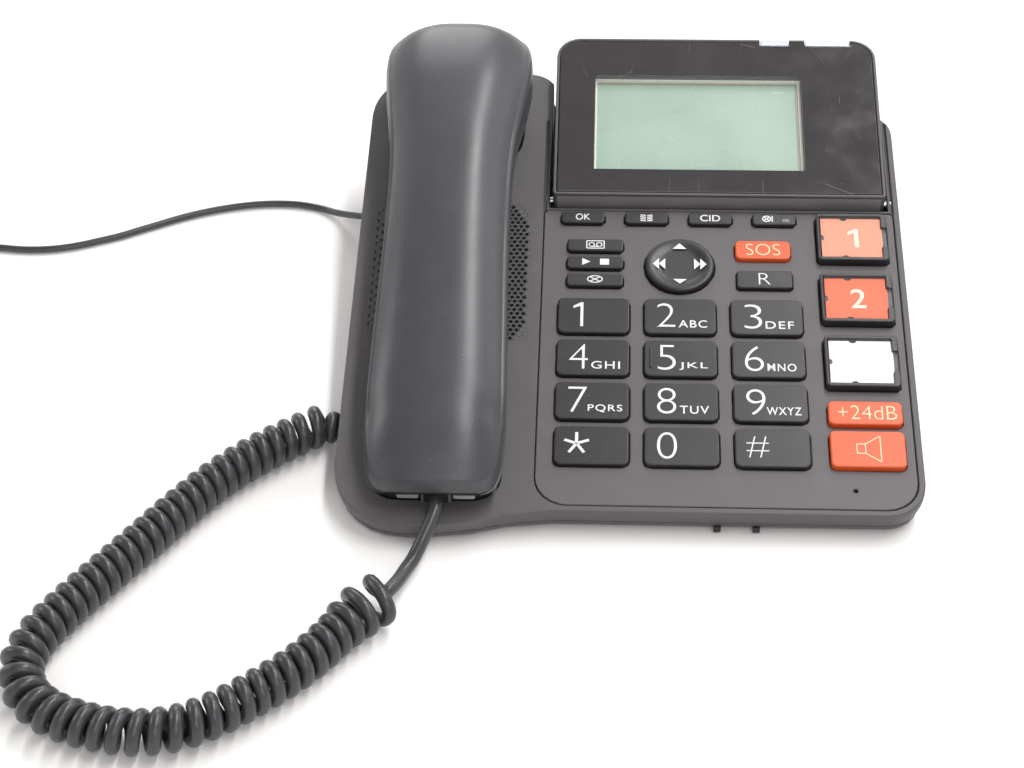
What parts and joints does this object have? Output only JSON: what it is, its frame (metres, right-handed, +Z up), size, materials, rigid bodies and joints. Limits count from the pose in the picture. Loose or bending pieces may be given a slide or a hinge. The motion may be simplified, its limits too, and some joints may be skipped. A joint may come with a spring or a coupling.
{
  "type": "corded desk telephone",
  "caption": "Corded desk phone with large keys, picture dialling keys, a tilting display and a handset on a curly cord, for calling and answering at a table.",
  "frame": {"origin": "on the table, under the middle of the box round the phone without its cords", "axes": "+X to the user's right, +Y away from the user and up the slope of the keys, +Z up"},
  "size_m": [0.4179, 0.3091, 0.0756],
  "materials": {
    "case_plastic": "fine matt texture, dark grey",
    "key_plastic": "satin, dark grey with light legends",
    "orange_plastic": "satin orange",
    "display_gloss": "high gloss black with a clear window",
    "lcd_glass": "grey-green liquid crystal panel",
    "clear_plastic": "clear, slightly milky",
    "circuit_board": "green solder mask",
    "silicone": "soft grey keypad rubber",
    "foot_rubber": "matt black",
    "steel": "plain bright steel",
    "cord_plastic": "satin dark grey jacket"
  },
  "bodies": {
    "base": {"base_top_cover": "case_plastic", "base_bottom_cover": "case_plastic", "key_panel": "case_plastic", "keypad_mat": "silicone", "main_board": "circuit_board", "base_loudspeaker": "steel", "foot_front_left": "foot_rubber", "foot_front_right": "foot_rubber", "foot_rear_left": "foot_rubber", "foot_rear_right": "foot_rubber", "display_hinge_pin": "steel", "base_plug": "clear_plastic", "line_plug_near": "clear_plastic", "line_cord": "cord_plastic", "line_coil": "cord_plastic", "line_plug_far": "clear_plastic", "handset_cord": "cord_plastic"},
    "handset": {"handset_outer_shell": "case_plastic", "handset_inner_shell": "case_plastic", "earpiece_capsule": "steel", "microphone_capsule": "steel", "handset_plug": "clear_plastic"},
    "hook": {"hook_plunger": "key_plastic"},
    "display": {"display_front_cover": "case_plastic", "display_rear_cover": "case_plastic", "display_lens": "display_gloss", "lcd_module": "lcd_glass", "light_guide": "clear_plastic"},
    "battery_door": {"battery_door": "case_plastic"},
    "nav_cross": {"nav_pivot": "silicone"},
    "nav_disc": {"nav_disc": "key_plastic"},
    "dial_key_1": {"dial_key_1": "key_plastic"},
    "dial_key_2": {"dial_key_2": "key_plastic"},
    "dial_key_3": {"dial_key_3": "key_plastic"},
    "dial_key_4": {"dial_key_4": "key_plastic"},
    "dial_key_5": {"dial_key_5": "key_plastic"},
    "dial_key_6": {"dial_key_6": "key_plastic"},
    "dial_key_7": {"dial_key_7": "key_plastic"},
    "dial_key_8": {"dial_key_8": "key_plastic"},
    "dial_key_9": {"dial_key_9": "key_plastic"},
    "dial_key_star": {"dial_key_star": "key_plastic"},
    "dial_key_0": {"dial_key_0": "key_plastic"},
    "dial_key_hash": {"dial_key_hash": "key_plastic"},
    "function_key_ok": {"function_key_ok": "key_plastic"},
    "function_key_phonebook": {"function_key_phonebook": "key_plastic"},
    "function_key_caller_id": {"function_key_caller_id": "key_plastic"},
    "function_key_erase": {"function_key_erase": "key_plastic"},
    "message_key_tape": {"message_key_tape": "key_plastic"},
    "message_key_play": {"message_key_play": "key_plastic"},
    "message_key_off": {"message_key_off": "key_plastic"},
    "sos_key": {"sos_key": "orange_plastic"},
    "flash_key": {"flash_key": "key_plastic"},
    "boost_key": {"boost_key": "orange_plastic"},
    "speaker_key": {"speaker_key": "orange_plastic"},
    "photo_key_1": {"photo_key_1": "key_plastic", "photo_cover_1": "clear_plastic"},
    "photo_key_2": {"photo_key_2": "key_plastic", "photo_cover_2": "clear_plastic"},
    "photo_key_3": {"photo_key_3": "key_plastic", "photo_cover_3": "clear_plastic"}
  },
  "joints": [
    {"name": "handset_lift", "type": "slide", "parent": "base", "child": "handset", "axis": [0, -0.1736, 0.9848], "range_m": [0, 0.04]},
    {"name": "hook_rise", "type": "slide", "parent": "base", "child": "hook", "axis": [0, -0.1736, 0.9848], "range_m": [0, 0.003]},
    {"name": "display_tilt", "type": "hinge", "parent": "base", "child": "display", "pos_m": [0.0322, 0.03637, 0.03249], "axis": [1, 0, 0], "range_deg": [0, 28]},
    {"name": "battery_door_slide", "type": "slide", "parent": "base", "child": "battery_door", "axis": [0, 1, 0], "range_m": [0, 0.045]},
    {"name": "nav_sideways_rock", "type": "hinge", "parent": "base", "child": "nav_cross", "pos_m": [0.01785, 0.00302, 0.02813], "axis": [0, 0.9848, 0.1736], "range_deg": [-4, 4], "stiffness_Nm_per_rad": 0.08},
    {"name": "nav_forward_rock", "type": "hinge", "parent": "nav_cross", "child": "nav_disc", "pos_m": [0.01785, 0.00302, 0.02813], "axis": [1, 0, 0], "range_deg": [-4, 4], "stiffness_Nm_per_rad": 0.08},
    {"name": "dial_key_1_press", "type": "slide", "parent": "base", "child": "dial_key_1", "axis": [0, 0.1736, -0.9848], "range_m": [0, 0.0012], "stiffness_N_per_m": 600, "springref_m": -0.0006},
    {"name": "dial_key_2_press", "type": "slide", "parent": "base", "child": "dial_key_2", "axis": [0, 0.1736, -0.9848], "range_m": [0, 0.0012], "stiffness_N_per_m": 600, "springref_m": -0.0006},
    {"name": "dial_key_3_press", "type": "slide", "parent": "base", "child": "dial_key_3", "axis": [0, 0.1736, -0.9848], "range_m": [0, 0.0012], "stiffness_N_per_m": 600, "springref_m": -0.0006},
    {"name": "dial_key_4_press", "type": "slide", "parent": "base", "child": "dial_key_4", "axis": [0, 0.1736, -0.9848], "range_m": [0, 0.0012], "stiffness_N_per_m": 600, "springref_m": -0.0006},
    {"name": "dial_key_5_press", "type": "slide", "parent": "base", "child": "dial_key_5", "axis": [0, 0.1736, -0.9848], "range_m": [0, 0.0012], "stiffness_N_per_m": 600, "springref_m": -0.0006},
    {"name": "dial_key_6_press", "type": "slide", "parent": "base", "child": "dial_key_6", "axis": [0, 0.1736, -0.9848], "range_m": [0, 0.0012], "stiffness_N_per_m": 600, "springref_m": -0.0006},
    {"name": "dial_key_7_press", "type": "slide", "parent": "base", "child": "dial_key_7", "axis": [0, 0.1736, -0.9848], "range_m": [0, 0.0012], "stiffness_N_per_m": 600, "springref_m": -0.0006},
    {"name": "dial_key_8_press", "type": "slide", "parent": "base", "child": "dial_key_8", "axis": [0, 0.1736, -0.9848], "range_m": [0, 0.0012], "stiffness_N_per_m": 600, "springref_m": -0.0006},
    {"name": "dial_key_9_press", "type": "slide", "parent": "base", "child": "dial_key_9", "axis": [0, 0.1736, -0.9848], "range_m": [0, 0.0012], "stiffness_N_per_m": 600, "springref_m": -0.0006},
    {"name": "dial_key_star_press", "type": "slide", "parent": "base", "child": "dial_key_star", "axis": [0, 0.1736, -0.9848], "range_m": [0, 0.0012], "stiffness_N_per_m": 600, "springref_m": -0.0006},
    {"name": "dial_key_0_press", "type": "slide", "parent": "base", "child": "dial_key_0", "axis": [0, 0.1736, -0.9848], "range_m": [0, 0.0012], "stiffness_N_per_m": 600, "springref_m": -0.0006},
    {"name": "dial_key_hash_press", "type": "slide", "parent": "base", "child": "dial_key_hash", "axis": [0, 0.1736, -0.9848], "range_m": [0, 0.0012], "stiffness_N_per_m": 600, "springref_m": -0.0006},
    {"name": "function_key_ok_press", "type": "slide", "parent": "base", "child": "function_key_ok", "axis": [0, 0.1736, -0.9848], "range_m": [0, 0.0012], "stiffness_N_per_m": 600, "springref_m": -0.0006},
    {"name": "function_key_phonebook_press", "type": "slide", "parent": "base", "child": "function_key_phonebook", "axis": [0, 0.1736, -0.9848], "range_m": [0, 0.0012], "stiffness_N_per_m": 600, "springref_m": -0.0006},
    {"name": "function_key_caller_id_press", "type": "slide", "parent": "base", "child": "function_key_caller_id", "axis": [0, 0.1736, -0.9848], "range_m": [0, 0.0012], "stiffness_N_per_m": 600, "springref_m": -0.0006},
    {"name": "function_key_erase_press", "type": "slide", "parent": "base", "child": "function_key_erase", "axis": [0, 0.1736, -0.9848], "range_m": [0, 0.0012], "stiffness_N_per_m": 600, "springref_m": -0.0006},
    {"name": "message_key_tape_press", "type": "slide", "parent": "base", "child": "message_key_tape", "axis": [0, 0.1736, -0.9848], "range_m": [0, 0.0012], "stiffness_N_per_m": 600, "springref_m": -0.0006},
    {"name": "message_key_play_press", "type": "slide", "parent": "base", "child": "message_key_play", "axis": [0, 0.1736, -0.9848], "range_m": [0, 0.0012], "stiffness_N_per_m": 600, "springref_m": -0.0006},
    {"name": "message_key_off_press", "type": "slide", "parent": "base", "child": "message_key_off", "axis": [0, 0.1736, -0.9848], "range_m": [0, 0.0012], "stiffness_N_per_m": 600, "springref_m": -0.0006},
    {"name": "sos_key_press", "type": "slide", "parent": "base", "child": "sos_key", "axis": [0, 0.1736, -0.9848], "range_m": [0, 0.0012], "stiffness_N_per_m": 600, "springref_m": -0.0006},
    {"name": "flash_key_press", "type": "slide", "parent": "base", "child": "flash_key", "axis": [0, 0.1736, -0.9848], "range_m": [0, 0.0012], "stiffness_N_per_m": 600, "springref_m": -0.0006},
    {"name": "boost_key_press", "type": "slide", "parent": "base", "child": "boost_key", "axis": [0, 0.1736, -0.9848], "range_m": [0, 0.0012], "stiffness_N_per_m": 600, "springref_m": -0.0006},
    {"name": "speaker_key_press", "type": "slide", "parent": "base", "child": "speaker_key", "axis": [0, 0.1736, -0.9848], "range_m": [0, 0.0012], "stiffness_N_per_m": 600, "springref_m": -0.0006},
    {"name": "photo_key_1_press", "type": "slide", "parent": "base", "child": "photo_key_1", "axis": [0, 0.1736, -0.9848], "range_m": [0, 0.0012], "stiffness_N_per_m": 600, "springref_m": -0.0006},
    {"name": "photo_key_2_press", "type": "slide", "parent": "base", "child": "photo_key_2", "axis": [0, 0.1736, -0.9848], "range_m": [0, 0.0012], "stiffness_N_per_m": 600, "springref_m": -0.0006},
    {"name": "photo_key_3_press", "type": "slide", "parent": "base", "child": "photo_key_3", "axis": [0, 0.1736, -0.9848], "range_m": [0, 0.0012], "stiffness_N_per_m": 600, "springref_m": -0.0006}
  ],
  "couplings": [
    {"joint": "hook_rise", "follows": "handset_lift", "ratio": 0.075}
  ]
}
